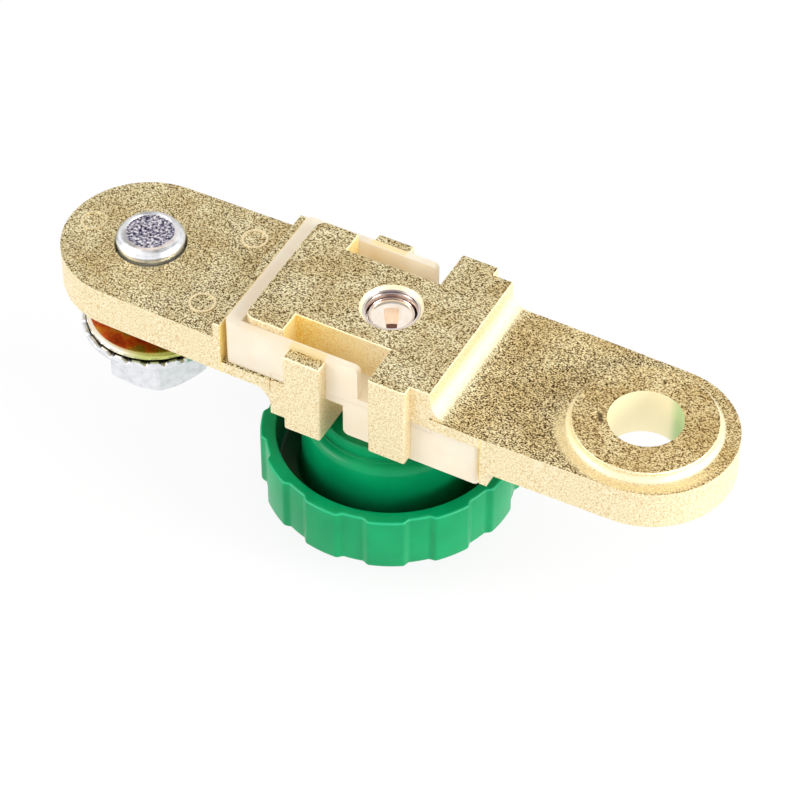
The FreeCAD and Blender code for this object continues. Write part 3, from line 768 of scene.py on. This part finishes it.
bolt_body = finish_piece("bolt_body", bolt, bright_zinc, "bolt", "terminal_bolt",
                         crisp=35)
bolt_body.data.materials.append(grained_zinc)
for polygon in bolt_body.data.polygons:
    middle = polygon.center / MM
    if middle.z > BOLT_TOP - 0.2 and hypot(middle.x - BOLT_X, middle.y) < CUT_END:
        polygon.material_index = 1

# %% [markdown]
# ## The dished washer
# A cone of sheet metal with a flat lip, yellow-zinc plated.

# %% Washer
WASHER_FOOT = bottom_of("dished_washer")
WASHER_HOLE, WASHER_EDGE = 5.1, 9.55

washer = bmesh.new()
profile = [(WASHER_HOLE, 1.4), (8.5, 0.3), (9.3, 0), (WASHER_EDGE, 0.2), (WASHER_EDGE, 0.75),
           (9.4, 0.9), (8.6, 1.15), (WASHER_HOLE, 2.3), (WASHER_HOLE, 1.4)]
lathe(washer, [(radius, WASHER_FOOT + height) for radius, height in profile], 120)
bmesh.ops.translate(washer, verts=washer.verts, vec=(BOLT_X * MM, 0, 0))
finish_piece("washer_body", washer, yellow_zinc, "washer", "dished_washer")

# %% [markdown]
# ## Floor and world
# A plain pale floor lies just below the lowest place that the knob screws down to, so that no pose
# dips into it. The background is white to the camera and to mirror reflections, while the light
# that falls on the object stays at a plain level. The floor keeps a little of the object's shadow,
# and it is clear from below, so that the underside can be looked at too.

# %% Floor and world
FLOOR_Z, FLOOR_WIDTH, FLOOR_WHITE = -5.3, 3, 0.85
WORLD_LIGHT = 0.75


def white_to_the_eye(tree, soft, kind, share):
    """A share of white where the camera or a reflection looks, and the soft shader elsewhere."""
    path = tree.nodes.new("ShaderNodeLightPath")
    seen = path.outputs["Is Camera Ray"]
    for ray in ("Is Glossy Ray", "Is Transmission Ray"):
        either = tree.nodes.new("ShaderNodeMath")
        either.operation = "MAXIMUM"
        tree.links.new(seen, either.inputs[0])
        tree.links.new(path.outputs[ray], either.inputs[1])
        seen = either.outputs[0]
    shared = tree.nodes.new("ShaderNodeMath")
    shared.operation = "MULTIPLY"
    shared.inputs[1].default_value = share
    tree.links.new(seen, shared.inputs[0])
    white = tree.nodes.new(kind)
    white.inputs["Color"].default_value = grey(1)
    white.inputs["Strength"].default_value = 1
    mixer = tree.nodes.new("ShaderNodeMixShader")
    for place, socket in enumerate((shared.outputs[0], soft.outputs[0], white.outputs[0])):
        tree.links.new(socket, mixer.inputs[place])
    return mixer


def matt(name, colour):
    """A plain material without gloss."""
    made = bpy.data.materials.new(name)
    made.use_nodes = True
    shader = made.node_tree.nodes["Principled BSDF"]
    shader.inputs["Base Color"].default_value = colour
    shader.inputs["Roughness"].default_value = 0.9
    return made


def sheet(name, width, height, placing, material):
    """A flat rectangle round the origin, moved by a matrix."""
    mesh = bmesh.new()
    bmesh.ops.create_grid(mesh, x_segments=1, y_segments=1, size=0.5)
    bmesh.ops.scale(mesh, vec=(width, height, 1), verts=mesh.verts)
    bmesh.ops.transform(mesh, matrix=placing, verts=mesh.verts)
    data = to_data(name, mesh)
    data.materials.append(material)
    return show(name, data)


floor_material = matt("floor", grey(0.95))
tree = floor_material.node_tree
whitened = white_to_the_eye(tree, tree.nodes["Principled BSDF"], "ShaderNodeEmission", FLOOR_WHITE)
clear_below = tree.nodes.new("ShaderNodeMixShader")
below = tree.nodes.new("ShaderNodeNewGeometry").outputs["Backfacing"]
clear = tree.nodes.new("ShaderNodeBsdfTransparent")
for place, socket in enumerate((below, whitened.outputs[0], clear.outputs[0])):
    tree.links.new(socket, clear_below.inputs[place])
tree.links.new(clear_below.outputs[0], tree.nodes["Material Output"].inputs["Surface"])
lowered = Matrix.Translation((0, 0, FLOOR_Z * MM))
floor = sheet("floor", FLOOR_WIDTH, FLOOR_WIDTH, lowered, floor_material)

world = bpy.data.worlds.new("studio")
bpy.context.scene.world = world
world.use_nodes = True
tree = world.node_tree
soft = tree.nodes["Background"]
soft.inputs["Color"].default_value = grey(1)
soft.inputs["Strength"].default_value = WORLD_LIGHT
whitened = white_to_the_eye(tree, soft, "ShaderNodeBackground", 1)
tree.links.new(whitened.outputs[0], tree.nodes["World Output"].inputs["Surface"])
print("floor at", FLOOR_Z, "mm, world light", WORLD_LIGHT)

# %% [markdown]
# ## Lamps and cards
# Two softboxes light the object from the left and the right. Polished metal shows what stands
# around it, and in a white room it looks like plaster. A photographer hangs cards where the metal
# looks: a dark one above the camera, a tan one overhead and a grey one behind. Only reflections
# see them here, so they cast no shadow.

# %% Lamps and cards
def lamp(name, place, size, watts):
    """A square softbox that looks at the object."""
    light = show(name, bpy.data.lights.new(name, "AREA"))
    light.data.size = size
    light.data.energy = watts
    light.location = place
    light.rotation_euler = (-Vector(place)).to_track_quat("-Z", "Y").to_euler()
    print(name, watts, "watts")


def card(name, place, width, height, colour):
    """A card that faces the object and that only reflections see."""
    towards = -Vector(place).normalized()
    across = (level_right - towards * level_right.dot(towards)).normalized()
    turn = Matrix((across, towards.cross(across), towards)).transposed()
    placing = Matrix.Translation(place) @ turn.to_4x4()
    flag = sheet(name, width, height, placing, matt(name, colour))
    flag.visible_camera = flag.visible_diffuse = False
    flag.visible_shadow = flag.visible_transmission = False


lamp("left_softbox", (-0.45, -0.4, 0.3), 0.35, 2.0)
lamp("right_softbox", (0.6, 0.02, 0.22), 0.35, 4.0)
level_back = Vector((-sin(AZIMUTH), cos(AZIMUTH), 0))
card("camera_flag", backwards * 0.61 + up * 0.3, 0.36, 0.22, tint(90, 62, 54))
card("boom_flag", Vector((0, 0, 0.75)) + level_back * 0.2, 0.5, 0.9, tint(234, 212, 190))
card("back_flag", (-0.26, 0.48, 0.14), 0.7, 0.24, grey(0.35))
bpy.context.scene.view_settings.view_transform = "Standard"
